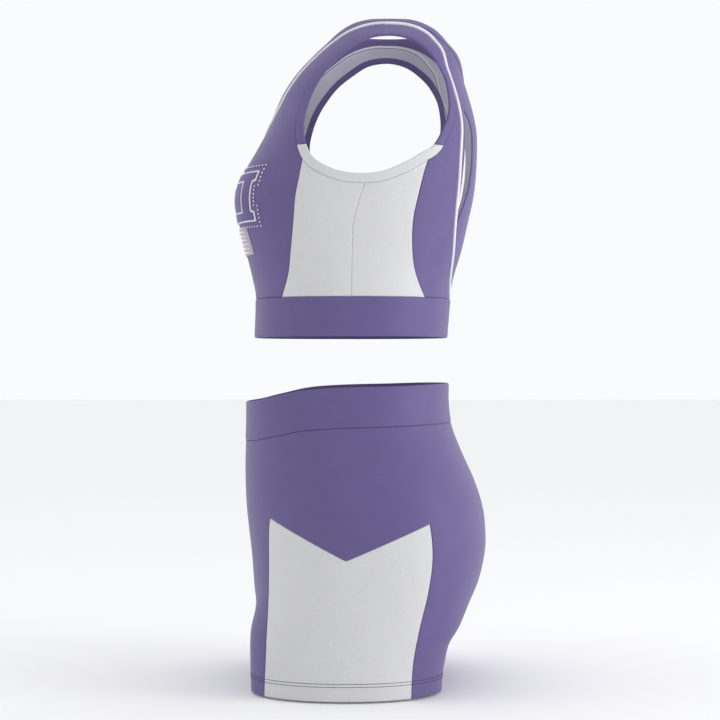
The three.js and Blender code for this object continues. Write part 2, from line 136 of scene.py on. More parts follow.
def grid_form(rows):
    """A form is (table of x, y, z and the outward normal, triangles) of an open tube of rings."""
    rows = np.array(rows)
    count, around, _ = rows.shape
    up = np.gradient(rows, axis=0)
    along = (np.roll(rows, -1, 1) - np.roll(rows, 1, 1)) / 2
    normal = np.cross(along, up)
    normal /= np.linalg.norm(normal, axis=2, keepdims=True) + 1e-12
    normal *= np.sign((normal * (rows - rows.mean(1, keepdims=True))).sum(2).mean())
    i, j = np.meshgrid(np.arange(count - 1), np.arange(around), indexing="ij")
    a, b = i * around + j, i * around + (j + 1) % around
    c, d = a + around, b + around
    lower, upper = np.stack([a, c, b], -1), np.stack([b, c, d], -1)
    tri = np.concatenate([lower.reshape(-1, 3), upper.reshape(-1, 3)])
    table = np.concatenate([rows, normal], 2).reshape(-1, 6)
    first = table[tri[0]]
    turned = np.dot(np.cross(first[1, :3] - first[0, :3], first[2, :3] - first[0, :3]), first[0, 3:6])
    return table, tri if turned > 0 else tri[:, ::-1]


def away(u, middle, reach):
    """Grows from nothing at the middle to one at the reach, for soft swells and hollows."""
    return ((u - middle) / reach) ** 2


def torso_rows():
    rows = []
    for i, (low, high) in enumerate(zip(TORSO, TORSO[1:])):
        rise, spread = high[0] - low[0], abs(high[1] - low[1])
        steps = max(3, round(rise / RING_GAP), round(spread / RING_GAP))
        last = i == len(TORSO) - 2
        for k in range(steps + last):
            z, half, front, back = between(TORSO, i + k / steps)
            x, y = ring_at(half, (back - front) / 2, 2.4, TURNS)
            y = y + (front + back) / 2
            # The bust lifts the cloth on each side and the cloth bridges the middle.
            bust = np.exp(-away(np.abs(x), BUST_X, BUST_REACH) - away(z, BUST_Z, BUST_REACH)) * (y < 0)
            bridge = np.exp(-away(x, 0, 40) - away(z, BUST_Z + 8, 60)) * (y < 0)
            y = y - 2.2 * bust + 4.5 * bridge
            # Long faint drags where the cloth pulls in to the hem band.
            x = x + 0.5 * np.sin(z / 13 + 3 * TURNS) * np.exp(-away(z, 440, 30)) * np.sign(x)
            rows.append(np.stack([x, y, np.full_like(x, z)], -1))
    return rows


torso = grid_form(torso_rows())

# The armhole, seen square from the side. The top is cut away inside it, its edge is where the
# binding is sewn on, and widths from that edge are measured on the cloth.
ARM_REACH = 60.0  # the cut goes no nearer the middle of the body than this


def split(form, value):
    """Cuts a form where value changes sign. Gives the table, the triangles where the value is
    positive, and the other triangles."""
    table, tri = form
    value = np.where(np.abs(value) < 1e-4, 1e-4, value)
    inside = value > 0
    n = inside[tri].sum(1)
    mixed = tri[(n == 1) | (n == 2)]
    if not len(mixed):
        return table, tri[n == 3], tri[n == 0]
    one = (inside[mixed].sum(1) == 1)[:, None]
    lone = np.argmax(inside[mixed] == one, 1)
    rows = np.arange(len(mixed))
    a, b, c = mixed[rows, lone], mixed[rows, (lone + 1) % 3], mixed[rows, (lone + 2) % 3]
    pairs = np.sort(np.concatenate([np.stack([a, b], 1), np.stack([a, c], 1)]), 1)
    edges, where = np.unique(pairs, axis=0, return_inverse=True)
    where = where.reshape(-1) + len(table)
    v0, v1 = value[edges[:, 0]], value[edges[:, 1]]
    t = (v0 / (v0 - v1))[:, None]
    table = np.concatenate([table, table[edges[:, 0]] * (1 - t) + table[edges[:, 1]] * t])
    ab, ac = where[: len(a)], where[len(a) :]
    tip = np.stack([a, ab, ac], 1)
    base = np.concatenate([np.stack([ab, b, c], 1), np.stack([ab, c, ac], 1)])
    tip_in = inside[a]
    return (
        table,
        np.concatenate([tri[n == 3], tip[tip_in], base[np.tile(~tip_in, 2)]]),
        np.concatenate([tri[n == 0], tip[~tip_in], base[np.tile(tip_in, 2)]]),
    )


def trimmed(table, tri):
    """A form without the rows of its table that no triangle uses."""
    used, again = np.unique(tri, return_inverse=True)
    return table[used], again.reshape(-1, 3)


def keep(form, value):
    """The part of a form where value is positive."""
    table, tri, _ = split(form, value(form[0]) if callable(value) else value)
    return trimmed(table, tri)


def smooth(points, count=60, closed=False):
    """A smooth line through the points."""
    p = np.array(points, float)
    n = len(p) if closed else len(p) - 1
    line = []
    for u in np.linspace(0, n, count, endpoint=not closed):
        i = min(int(u), n - 1)
        beside = np.arange(i - 1, i + 3)
        line.append(eased(p[beside % n] if closed else p[np.clip(beside, 0, n)], u - i))
    return np.array(line)


def across(u, v, line, closed=False):
    """How far each point lies to the left of a line in a flat view, in millimetres. It is
    negative on the line's right."""
    start = line if closed else line[:-1]
    step = (np.roll(line, -1, 0) - line) if closed else np.diff(line, axis=0)
    square = (step**2).sum(1) + 1e-12
    out = np.empty(len(u))
    for k in range(0, len(u), 4000):
        du = u[k : k + 4000, None] - start[None, :, 0]
        dv = v[k : k + 4000, None] - start[None, :, 1]
        t = (du * step[:, 0] + dv * step[:, 1]) / square
        held = np.clip(t, 0, 1)
        if not closed:
            held[:, 0] = np.minimum(t[:, 0], 1)
            held[:, -1] = np.maximum(t[:, -1], 0)
        eu, ev = du - held * step[:, 0], dv - held * step[:, 1]
        far = np.hypot(eu, ev)
        near = far.argmin(1)
        pick = np.arange(len(near))
        side = step[near, 0] * ev[pick, near] - step[near, 1] * eu[pick, near]
        out[k : k + 4000] = far[pick, near] * np.where(side >= 0, 1, -1)
    return out


ARMHOLE = smooth([
    (-59.7, 597), (-56.7, 615), (-49.5, 634.7), (-40, 651), (-26.4, 668), (-8.5, 682), (8.5, 692),
    (26.5, 695.5), (42.5, 694.4), (58.3, 688.6), (74, 676), (84.5, 662), (91.7, 645.6), (94.8, 622),
    (91.5, 603), (78.7, 577.6), (64.6, 568), (46, 557), (22, 547.5), (-2, 545.4), (-26, 549.5),
    (-47, 561), (-56.5, 576),
], 110, True)


def arm_side(t):
    """Positive outside the armhole. The line runs clockwise, so its left is outside."""
    d = across(t[:, 1], t[:, 2], ARMHOLE, True)
    return np.where(np.abs(t[:, 0]) < ARM_REACH, ARM_REACH, d)


def from_points(spots, table):
    """The distance of each row of the table from the nearest of the spots."""
    tree = KDTree(len(spots))
    for i, p in enumerate(spots):
        tree.insert(p, i)
    tree.balance()
    return np.array([tree.find(p)[2] for p in table[:, :3]])


torso = keep(torso, arm_side)
arm_edge = torso[0][np.abs(arm_side(torso[0])) < 0.02][:, :3]


def arm_gap(t):
    """How far each point lies from the armhole's edge."""
    return from_points(arm_edge, t)


# The neck opening, seen from the front: a deep scoop before, a shallow one behind. The two
# halves of the top meet at the shoulder seam.
FRONT_NECK = smooth([(0, 610), (25, 614), (44, 630), (56, 655), (61, 688), (62, 704), (62, 735)], 70)
BACK_NECK = smooth([(0, 668), (30, 672), (50, 684), (60, 698), (62, 708), (62, 735)], 60)
SHOULDER_Y = 26


def front_neck(t):
    """Positive outside the scoop: it is walked from the middle up to the shoulder."""
    return -across(np.abs(t[:, 0]), t[:, 2], FRONT_NECK)


def back_neck(t):
    return -across(np.abs(t[:, 0]), t[:, 2], BACK_NECK)


front_form = keep(keep(torso, SHOULDER_Y - torso[0][:, 1]), front_neck)
back_form = keep(keep(torso, torso[0][:, 1] - SHOULDER_Y), back_neck)

# Front panel: one purple piece, printed on white stretch knit, from the hem seam up to the
# shoulder seams. It leaves room for the neck band, the piping and the armhole bindings, and
# flat seams join it to the side panels.
BAND_Z = 417  # seam of the hem band
CORNER_Z = 577  # where the side panels end under the arm
ARM_BINDING, NECK_BAND, CORD = 10.0, 12.15, 3.2
SIDE_FRONT = smooth([
    (-54, 600), (-57.5, 577), (-63, 548), (-68, 522), (-70, 498), (-73, 467), (-76, 441), (-83, 417),
    (-88, 400),
])


def above_band(t):
    return t[:, 2] - BAND_Z


def ahead_of_side(t):
    """Positive in front of the side panel or above it. The line is walked downwards, so its
    left is behind."""
    return np.maximum(-across(t[:, 1], t[:, 2], SIDE_FRONT), t[:, 2] - CORNER_Z)


def at_shoulder(t):
    """The shoulder seam is flat, with nothing rolled over."""
    return np.abs(t[:, 1] - SHOULDER_Y) < 0.01


def knit(name, colour, roughness, sheen, fine=1.0, mottled=0.06):
    """Warp-knit stretch cloth: fine upright ribs of loops, a slight mottle and a soft sheen."""
    made = bpy.data.materials.new(name)
    made.use_nodes = True
    nodes, links = made.node_tree.nodes, made.node_tree.links
    shader = nodes["Principled BSDF"]
    shader.inputs["Roughness"].default_value = roughness
    shader.inputs["Sheen Weight"].default_value = sheen
    shader.inputs["Sheen Roughness"].default_value = 0.45
    shader.inputs["Specular IOR Level"].default_value = 0.35
    place = nodes.new("ShaderNodeTexCoord")
    mottle = nodes.new("ShaderNodeTexNoise")
    mottle.inputs["Scale"].default_value = 38
    mottle.inputs["Detail"].default_value = 4
    links.new(place.outputs["Object"], mottle.inputs["Vector"])
    tint = nodes.new("ShaderNodeValToRGB")
    low = [c * (1 - mottled) for c in colour]
    high = [min(1, c * (1 + mottled)) for c in colour]
    tint.color_ramp.elements[0].position = 0.3
    tint.color_ramp.elements[0].color = (*low, 1)
    tint.color_ramp.elements[1].position = 0.7
    tint.color_ramp.elements[1].color = (*high, 1)
    links.new(mottle.outputs["Fac"], tint.inputs["Fac"])
    loops = nodes.new("ShaderNodeTexVoronoi")
    loops.inputs["Scale"].default_value = 1500 * fine
    stretch = nodes.new("ShaderNodeMapping")
    stretch.inputs["Scale"].default_value = (1, 1, 0.55)
    links.new(place.outputs["Object"], stretch.inputs["Vector"])
    links.new(stretch.outputs["Vector"], loops.inputs["Vector"])
    shade = nodes.new("ShaderNodeMix")
    shade.data_type = "RGBA"
    shade.blend_type = "MULTIPLY"
    shade.inputs["Factor"].default_value = 0.14
    links.new(tint.outputs["Color"], shade.inputs["A"])
    links.new(loops.outputs["Distance"], shade.inputs["B"])
    links.new(shade.outputs["Result"], shader.inputs["Base Color"])
    lift = nodes.new("ShaderNodeBump")
    lift.inputs["Strength"].default_value = 0.25
    lift.inputs["Distance"].default_value = 0.0003
    links.new(loops.outputs["Distance"], lift.inputs["Height"])
    links.new(lift.outputs["Normal"], shader.inputs["Normal"])
    return made


def score(form, value):
    """Cuts a form like split, and keeps both sides."""
    table, here, there = split(form, value)
    return table, np.concatenate([here, there])


def edge_pairs(tri):
    """The edges that only one triangle has, each in that triangle's direction."""
    edges = np.concatenate([tri[:, [0, 1]], tri[:, [1, 2]], tri[:, [2, 0]]])
    _, first, count = np.unique(np.sort(edges, 1), axis=0, return_index=True, return_counts=True)
    return edges[first[count == 1]]


def along_edges(table, edges, spacing=0.6):
    """Points close together along the edges."""
    spots = []
    for a, b in edges:
        p, q = table[a, :3], table[b, :3]
        n = max(1, int(np.linalg.norm(q - p) / spacing))
        spots += [p + (q - p) * k / n for k in range(n)]
    return spots


def placed(name, mesh, body):
    """An object made of the mesh, which rides with one of the two garments."""
    piece = bpy.data.objects.new(name, mesh)
    bpy.context.collection.objects.link(piece)
    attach(piece, body)
    return piece


def cloth(
    name, form, body, slot, paint, reverse,
    lift=0.0, thick=1.0, roll=0.8, width=1.4, square=None,
):
    """A closed piece of cloth: the form lifted off itself, given a thickness, and rolled over
    at its edges within the width, except at the edges that square(table) marks."""
    table, tri = form
    edges = edge_pairs(tri)
    if square is not None:
        edges = edges[~square(table)[edges].all(1)]
    far = from_points(along_edges(table, edges), table)
    table = np.column_stack([table[:, :6], far])
    for level in (width * 0.45, width, width * 2):
        table, tri = trimmed(*score((table, tri), table[:, 6] - level))
    table[:, 3:6] /= np.linalg.norm(table[:, 3:6], axis=1, keepdims=True)
    d = np.clip(table[:, 6] / width, 0, 1)
    rise = lift + roll * (np.sqrt(1 - (1 - d) ** 2) - 1)
    outer = table[:, :3] + table[:, 3:6] * rise[:, None]
    inner = table[:, :3] + table[:, 3:6] * (lift - roll - thick)
    n = len(outer)
    rim = edge_pairs(tri)
    faces = np.concatenate([tri, tri[:, ::-1] + n])
    walls = [(a, a + n, b + n, b) for a, b in rim]
    mesh = bpy.data.meshes.new(name)
    points = np.concatenate([outer, inner]) / 1000
    mesh.from_pydata(points, [], [*map(tuple, faces.tolist()), *walls])
    mesh.materials.append(paint)
    mesh.materials.append(reverse)
    marks = np.zeros(len(mesh.polygons), dtype=np.int32)
    marks[len(tri) : 2 * len(tri)] = 1
    mesh.polygons.foreach_set("material_index", marks)
    mesh.polygons.foreach_set("use_smooth", np.ones(len(mesh.polygons), dtype=bool))
    mesh.set_sharp_from_angle(angle=math.radians(50))
    mesh.validate()
    return placed(name, mesh, body)


PURPLE = knit("purple stretch knit", (0.140, 0.109, 0.285), 0.58, 0.12, mottled=0.03)
# The reverse of the printed knit is white cloth. Its colour here is darker and tinted lavender: painted
# shade and painted bounce light from the purple.
REVERSE_WITH_PAINTED_SHADE = knit("white reverse of the printed knit", (0.60, 0.59, 0.68), 0.75, 0.05, mottled=0.03)
PURPLE_CLOTH = ("purple_stretch_cloth", PURPLE, REVERSE_WITH_PAINTED_SHADE)
form = keep(keep(front_form, above_band), lambda t: front_neck(t) - NECK_BAND - CORD)
form = keep(keep(form, lambda t: arm_gap(t) - ARM_BINDING), ahead_of_side)
front_panel = cloth("front_panel", form, "top", *PURPLE_CLOTH, square=at_shoulder)
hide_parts("top_front_panel")

# Back panels: a purple piece down each side of the open back, from the shoulder seam to the
# hem band, between the piping and the side panel, narrow behind the armhole.
PIPING = smooth([
    (75.75, 735), (75.75, 722), (76.6, 710), (80.5, 699), (85, 686), (87, 672), (86.8, 656),
    (86.5, 639), (87.5, 617), (89, 595), (89.5, 574), (88.5, 553), (86.5, 532), (83.5, 511),
    (76, 483), (67, 464), (56, 446), (43, 428), (32, 417), (30, 407),
], 160)
SIDE_BACK = smooth([
    (84, 590), (78, 577), (69, 553), (61, 522), (56, 498), (55, 472), (57, 450), (62, 433), (69, 417),
    (77, 400),
])


def out_of_piping(t):
    """Positive on the arm's side of the piping, negative on the spine's."""
    return across(np.abs(t[:, 0]), t[:, 2], PIPING)


def behind_side(t):
    return np.maximum(across(t[:, 1], t[:, 2], SIDE_BACK), t[:, 2] - CORNER_Z)


def mirror(form):
    """The form on the other side of the body."""
    table, tri = form
    table = table.copy()
    table[:, 0] *= -1
    table[:, 3] *= -1
    return table, tri[:, ::-1]


def handed(side, left_form):
    """A left piece's form as it is, or mirrored for the right."""
    return left_form if side == "left" else mirror(left_form)


form = keep(keep(back_form, above_band), lambda t: out_of_piping(t) - CORD / 2)
form = keep(keep(form, lambda t: arm_gap(t) - ARM_BINDING), behind_side)
form = keep(form, form[0][:, 0])
for side in ("left", "right"):
    piece = cloth(f"back_panel_{side}", handed(side, form), "top", *PURPLE_CLOTH, square=at_shoulder)
    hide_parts(f"top_back_panel_{side}")

# Side panels: white knit under each arm, in a front and a back half that meet at the side seam,
# sewn to the purple panels by flat seams.
SIDE_SEAM = smooth([
    (8, 577), (4.8, 537), (-2, 515), (-7.3, 491), (-8.3, 462), (-9.4, 417), (-9.6, 400),
])
WHITE = knit("white stretch knit", (0.73, 0.73, 0.74), 0.62, 0.1, mottled=0.012)
WHITE_CLOTH = ("white_stretch_cloth", WHITE, WHITE)
under_arm = keep(keep(torso, above_band), lambda t: arm_gap(t) - ARM_BINDING)
under_arm = keep(under_arm, under_arm[0][:, 0] - 20)
under_arm = keep(keep(under_arm, lambda t: -ahead_of_side(t)), lambda t: -behind_side(t))
fore = keep(under_arm, lambda t: -across(t[:, 1], t[:, 2], SIDE_SEAM))
rear = keep(under_arm, lambda t: across(t[:, 1], t[:, 2], SIDE_SEAM))
for side in ("left", "right"):
    for part, half in (("front", fore), ("back", rear)):
        piece = cloth(f"side_{part}_{side}", handed(side, half), "top", *WHITE_CLOTH)
        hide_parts(f"top_side_{part}_{side}")

# Neck band: a folded purple strip, printed both sides, all round the neck opening. Its edge is
# the top's edge, so it stands a little above the panels.
PURPLE_DOUBLED = ("purple_stretch_cloth", PURPLE, PURPLE)


def joined(one, other):
    """Two forms that meet along an edge, made one."""
    table = np.concatenate([one[0], other[0]])
    tri = np.concatenate([one[1], other[1] + len(one[0])])
    _, first, again = np.unique(np.round(table[:, :3], 2), axis=0, return_index=True, return_inverse=True)
    tri = again.reshape(-1)[tri]
    whole = (tri[:, 0] != tri[:, 1]) & (tri[:, 1] != tri[:, 2]) & (tri[:, 2] != tri[:, 0])
    return table[first], tri[whole]


fore = keep(front_form, lambda t: NECK_BAND - front_neck(t))
rear = keep(back_form, lambda t: NECK_BAND - back_neck(t))
form = joined(fore, rear)
neck_band = cloth("neck_band", form, "top", *PURPLE_DOUBLED, lift=0.7, thick=1.2, roll=1.0)
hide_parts("top_neck_band")

# Racerback: the middle of the back, between the two lines of piping, with a leaf-shaped cutout
# on each side that shows the white reverse of the far side.
CUTOUT = smooth([
    (79, 617), (70, 611), (63, 599), (59.5, 584), (58.5, 566), (60, 547), (64, 527), (71, 508),
    (78, 496), (80.5, 510), (81.5, 540), (81.5, 570), (81.5, 598),
], 90, True)


def within(u, v, outline):
    """Positive inside a closed outline."""
    far = np.abs(across(u, v, outline, True))
    inside = np.zeros(len(u), dtype=bool)
    for (x0, y0), (x1, y1) in zip(outline, np.roll(outline, -1, 0)):
        if y0 != y1:
            inside ^= ((y0 > v) != (y1 > v)) & (u < (x1 - x0) * (v - y0) / (y1 - y0) + x0)
    return np.where(inside, far, -far)


def out_of_cutout(t):
    return -within(np.abs(t[:, 0]), t[:, 2], CUTOUT)


form = keep(keep(back_form, above_band), lambda t: -out_of_piping(t) - CORD / 2)
form = keep(keep(form, lambda t: back_neck(t) - NECK_BAND), out_of_cutout)
racerback = cloth("racerback", form, "top", *PURPLE_CLOTH)
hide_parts("top_racerback")

# Piping: a white bias strip over thin cord. It outlines the neck band in front and runs down
# the edge of each back panel to the hem.
PIPE_WHITE = knit("white piping tape", (0.90, 0.89, 0.93), 0.5, 0.15, mottled=0.02)
WHITE_PIPING = ("white_piping", PIPE_WHITE, PIPE_WHITE)


def finer(form):
    """The same form with every triangle made into four."""
    table, tri = form
    edges = np.sort(np.concatenate([tri[:, [0, 1]], tri[:, [1, 2]], tri[:, [2, 0]]]), 1)
    pairs, where = np.unique(edges, axis=0, return_inverse=True)
    ab, bc, ca = where.reshape(3, -1) + len(table)
    a, b, c = tri.T
    table = np.concatenate([table, (table[pairs[:, 0]] + table[pairs[:, 1]]) / 2])
    corners = ((a, ab, ca), (ab, b, bc), (ca, bc, c), (ab, bc, ca))
    return table, np.concatenate([np.stack(three, 1) for three in corners])


# A broad strip is taken first and made finer, and the narrow one is cut from it.
fore = keep(front_form, lambda t: front_neck(t) - NECK_BAND + 5)
fore = finer(keep(fore, lambda t: NECK_BAND + 8 - front_neck(t)))
fore = keep(fore, lambda t: front_neck(t) - NECK_BAND)
fore = keep(fore, lambda t: NECK_BAND + CORD - front_neck(t))
rear = keep(keep(back_form, above_band), lambda t: 8 - np.abs(out_of_piping(t)))
rear = keep(finer(rear), lambda t: CORD / 2 - out_of_piping(t))
rear = keep(rear, lambda t: CORD / 2 + out_of_piping(t))
form = joined(fore, rear)
piping = cloth("piping", form, "top", *WHITE_PIPING, lift=1.5, thick=1.0, roll=1.5, width=1.6)
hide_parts("top_piping")

# Armhole bindings: a folded strip round each armhole, purple over the shoulder and white
# under the arm, where it meets the side panel.
BINDING = {"lift": 0.8, "thick": 1.2, "roll": 1.1}
ring = keep(torso, lambda t: ARM_BINDING - arm_gap(t))
ring = keep(ring, ring[0][:, 0] - 40)
upper = keep(ring, ring[0][:, 2] - CORNER_Z)
lower = keep(ring, CORNER_Z - ring[0][:, 2])
for side in ("left", "right"):
    piece = cloth(f"armhole_binding_{side}", handed(side, upper), "top", *PURPLE_DOUBLED, **BINDING)
    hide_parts(f"top_armhole_binding_{side}")
    piece = cloth(f"underarm_binding_{side}", handed(side, lower), "top", *WHITE_CLOTH, **BINDING)
    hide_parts(f"top_underarm_binding_{side}")

# Hem band: a doubled purple band, with soft elastic stitched inside it, a little narrower than
# the band.
HEM_Z = TORSO[0][0]
EASE = 4  # from the elastic's edges to the band's
DOUBLED_BAND = {"lift": 0.7, "thick": 1.0, "roll": 1.2, "width": 1.8}
INSIDE_BAND = {"lift": -1.8, "thick": 1.0, "roll": 0.4}
ELASTIC = knit("soft elastic", (0.66, 0.65, 0.70), 0.8, 0.3, 0.5)
SOFT_ELASTIC = ("soft_elastic", ELASTIC, ELASTIC)
form = keep(torso, BAND_Z - torso[0][:, 2])
hem_band = cloth("hem_band", form, "top", *PURPLE_DOUBLED, **DOUBLED_BAND)
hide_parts("top_hem_band")
form = keep(keep(torso, BAND_Z - EASE - torso[0][:, 2]), lambda t: t[:, 2] - (HEM_Z + EASE))
elastic = cloth("hem_elastic", form, "top", *SOFT_ELASTIC, **INSIDE_BAND)
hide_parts("top_hem_elastic")

# Emblem on the chest: a plain slab-ended plaque of white twill, and a purple face on it that
# leaves a white outline, heat-pressed to the front panel.
EMBLEM_HALF, EMBLEM_LOW, EMBLEM_HIGH = 95, 498, 552
EMBLEM_Z = (EMBLEM_LOW + EMBLEM_HIGH) / 2
SLAB, STEP_IN = 11, 4.5  # height of the slab at each corner, and how far the sides step in
OUTLINE = 1.8  # white left showing round the face
PRESSED = {"thick": 0.4, "roll": 0.4, "width": 0.8}
TWILL_WHITE = knit("white twill", (0.78, 0.78, 0.82), 0.55, 0.1, 0.7)
TWILL_PURPLE = knit("purple twill", (0.120, 0.085, 0.270), 0.5, 0.1, 0.7)
EMBLEM_WHITE = ("emblem_white", TWILL_WHITE, TWILL_WHITE)
EMBLEM_PURPLE = ("emblem_purple", TWILL_PURPLE, TWILL_PURPLE)


def plaque(inset):
    """The plaque's outline from the front, or one drawn in from it."""
    x, low, high = EMBLEM_HALF - inset, EMBLEM_LOW + inset, EMBLEM_HIGH - inset
    slab = SLAB - 2 * inset
    right = [
        (x, low), (x, low + slab), (x - STEP_IN, low + slab + 1),
        (x - STEP_IN, high - slab - 1), (x, high - slab), (x, high),
    ]
    return np.array(right + [(-u, v) for u, v in reversed(right)], float)


chest = keep(keep(front_form, above_band), lambda t: front_neck(t) - NECK_BAND - CORD)
# The part of the front that carries the emblem, the bar and the stones, made finer.
chest = keep(chest, lambda t: np.minimum(112 - np.abs(t[:, 0]), 57 - np.abs(t[:, 2] - 512)))
chest = finer(chest)
form = keep(chest, lambda t: within(t[:, 0], t[:, 2], plaque(0)))
backing = cloth("plaque_backing", form, "top", *EMBLEM_WHITE, lift=1.0, **PRESSED)
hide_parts("emblem_backing")
form = keep(chest, lambda t: within(t[:, 0], t[:, 2], plaque(OUTLINE)))
face = cloth("plaque_face", form, "top", *EMBLEM_PURPLE, lift=1.7, **PRESSED)
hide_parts("emblem_face")

# Stars and frame: three white stars cut from thin twill, the middle one the largest, and a
# narrow oblong line of it round them, all pressed to the plaque's face.
STAR_X = 40
LINE_HALF_WIDTH, LINE_HALF_HEIGHT, LINE = 76, 17, 1.6
THIN_TWILL = {"lift": 2.3, "thick": 0.3, "roll": 0.3}


def star(x, z, size):
    """A five-pointed star's outline from the front."""
    turns = np.arange(10) * np.pi / 5 + np.pi / 2
    reach = np.where(np.arange(10) % 2 == 0, size, size * 0.42)
    return np.stack([x + reach * np.cos(turns), z + reach * np.sin(turns)], 1)


def out_of_line(t):
    """Negative inside the oblong."""
    return np.maximum(np.abs(t[:, 0]) - LINE_HALF_WIDTH, np.abs(t[:, 2] - EMBLEM_Z) - LINE_HALF_HEIGHT)


for name, x, size, flat, area in (
    ("left", STAR_X, 12, 0.022, 0.00020), ("middle", 0, 15, 0.027, 0.00030),
    ("right", -STAR_X, 12, 0.022, 0.00020),
):
    form = keep(chest, lambda t: within(t[:, 0], t[:, 2], star(x, EMBLEM_Z, size)))
    piece = cloth(f"emblem_star_{name}", form, "top", *EMBLEM_WHITE, width=0.6, **THIN_TWILL)
form = keep(keep(chest, lambda t: -out_of_line(t)), lambda t: out_of_line(t) + LINE)
piece = cloth("emblem_frame", form, "top", *EMBLEM_WHITE, width=0.5, **THIN_TWILL)

# Glitter bar: a strip of silver glitter film under the emblem, pressed to the front panel. It
# is the ground for the rows of stones.
BAR_HALF, BAR_Z, BAR_HALF_HEIGHT = 74, 478, 14
FILM = knit("silver glitter film", (0.45, 0.40, 0.47), 0.3, 0.0, 0.6)
FILM.node_tree.nodes["Principled BSDF"].inputs["Metallic"].default_value = 0.5
GLITTER = ("rhinestone_glitter", FILM, FILM)


def in_bar(t):
    """Positive inside the bar's oblong."""
    return np.minimum(BAR_HALF - np.abs(t[:, 0]), BAR_HALF_HEIGHT - np.abs(t[:, 2] - BAR_Z))


form = keep(chest, in_bar)
piece = cloth("glitter_bar", form, "top", *GLITTER, lift=0.9, thick=0.3, roll=0.3, width=0.6)
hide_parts("emblem_glitter_bar")

# Rhinestones: small eight-sided glass stones with a flat top, glued in one row round the
# emblem and in close-set rows over the bar.
STONE_GAP = 4.4
STONE = bpy.data.materials.new("rhinestone")
STONE.use_nodes = True
stone_shader = STONE.node_tree.nodes["Principled BSDF"]
stone_shader.inputs["Base Color"].default_value = (0.74, 0.68, 0.78, 1)
stone_shader.inputs["Roughness"].default_value = 0.08
stone_shader.inputs["Metallic"].default_value = 0.55
chest_tree = KDTree(len(chest[0]))
for i, spot in enumerate(chest[0]):
    chest_tree.insert((spot[0], 0, spot[2]), i)
chest_tree.balance()


def on_chest(x, z, lift):
    """The place and the outward normal on the front of the top at one spot of the front view."""
    near = chest_tree.find_n((x, 0, z), 4)
    weight = np.array([1 / (far + 0.05) for _, _, far in near])
    rows = chest[0][[i for _, i, _ in near]]
    mean = (rows * weight[:, None]).sum(0) / weight.sum()
    normal = mean[3:6] / np.linalg.norm(mean[3:6])
    return np.array([x, mean[1], z]) + normal * lift, normal


def stones(name, spots, lift, size):
    """One object of many stones. A stone's rings are its foot, its girdle and its flat top."""
    shape = bmesh.new()
    for x, z in spots:
        middle, normal = on_chest(x, z, lift)
        turn = Vector(normal).to_track_quat("Z", "Y").to_matrix()
        loops = []
        for height, reach in ((0, size), (0.35, size), (0.95, size * 0.55)):
            angles = [k * math.pi / 4 for k in range(8)]
            ring = [Vector((reach * math.cos(a), reach * math.sin(a), height)) for a in angles]
            loops.append([shape.verts.new((Vector(middle) + turn @ p) / 1000) for p in ring])
        shape.faces.new(loops[2])
        shape.faces.new(loops[0][::-1])
        for low, high in zip(loops, loops[1:]):
            for k in range(8):
                shape.faces.new((low[k], low[(k + 1) % 8], high[(k + 1) % 8], high[k]))
    mesh = bpy.data.meshes.new(name)
    shape.to_mesh(mesh)
    shape.free()
    mesh.materials.append(STONE)
    placed(name, mesh, "top")


def spaced(outline, gap):
    """Points at even gaps round a closed outline."""
    out = []
    for p, q in zip(outline, np.roll(outline, -1, 0)):
        n = max(1, round(float(np.linalg.norm(q - p)) / gap))
        out += [tuple(p + (q - p) * k / n) for k in range(n)]
    return out


stones("emblem_rhinestones", spaced(plaque(-5), STONE_GAP), 0.7, 1.1)
rows = []
for j in range(6):
    # Every second row is set over by half a gap and has one stone fewer.
    odd = j % 2
    start = -BAR_HALF + 2.5 + STONE_GAP / 2 * odd
    rows += [(start + STONE_GAP * i, BAR_Z - 11 + STONE_GAP * j) for i in range(33 - odd)]
stones("bar_rhinestones", rows, 1.0, 1.25)

# The shape that the shorts take when worn: one leg with its half of the hips, as height, outer
# side, inner side, front and back. Above the fork the half runs past the middle of the body
# and is cut there.
LEG = [
    (0, 170, 8, -116, 87), (20, 171, 7, -116.5, 88.5), (40, 171.5, 5, -117, 93),
    (55, 172, 3, -117, 100), (70, 172.5, -1, -117, 109), (85, 173, -15, -116.5, 118),
    (110, 174, -30, -117, 130), (140, 174.5, -30, -119, 137), (162, 174.5, -30, -121.5, 138),
    (190, 172, -30, -124.5, 135), (220, 164, -30, -126, 125.5), (250, 153, -30, -126, 112),
    (279, 142, -30, -125, 101), (303, 137.5, -30, -125, 97.5), (326, 137, -30, -125.5, 97.5),
]
PAST_MIDDLE = -30
FORK_Z, FORK_RISE = 55, 55  # the leg's round turns into the hips' over this rise


def hip_reach(centre, inner, outer, depth):
    """How far the hips' outline lies from a leg's centre, in each direction."""
    s, c = np.sin(TURNS), np.cos(TURNS)
    near, far = np.zeros(AROUND), np.full(AROUND, outer + depth)
    for _ in range(36):
        reach = (near + far) / 2
        x, y = centre + s * reach, c * reach
        inside = (x > inner) & ((np.abs(x) / outer) ** 2.6 + (np.abs(y) / depth) ** 2.6 < 1)
        near, far = np.where(inside, reach, near), np.where(inside, far, reach)
    return near


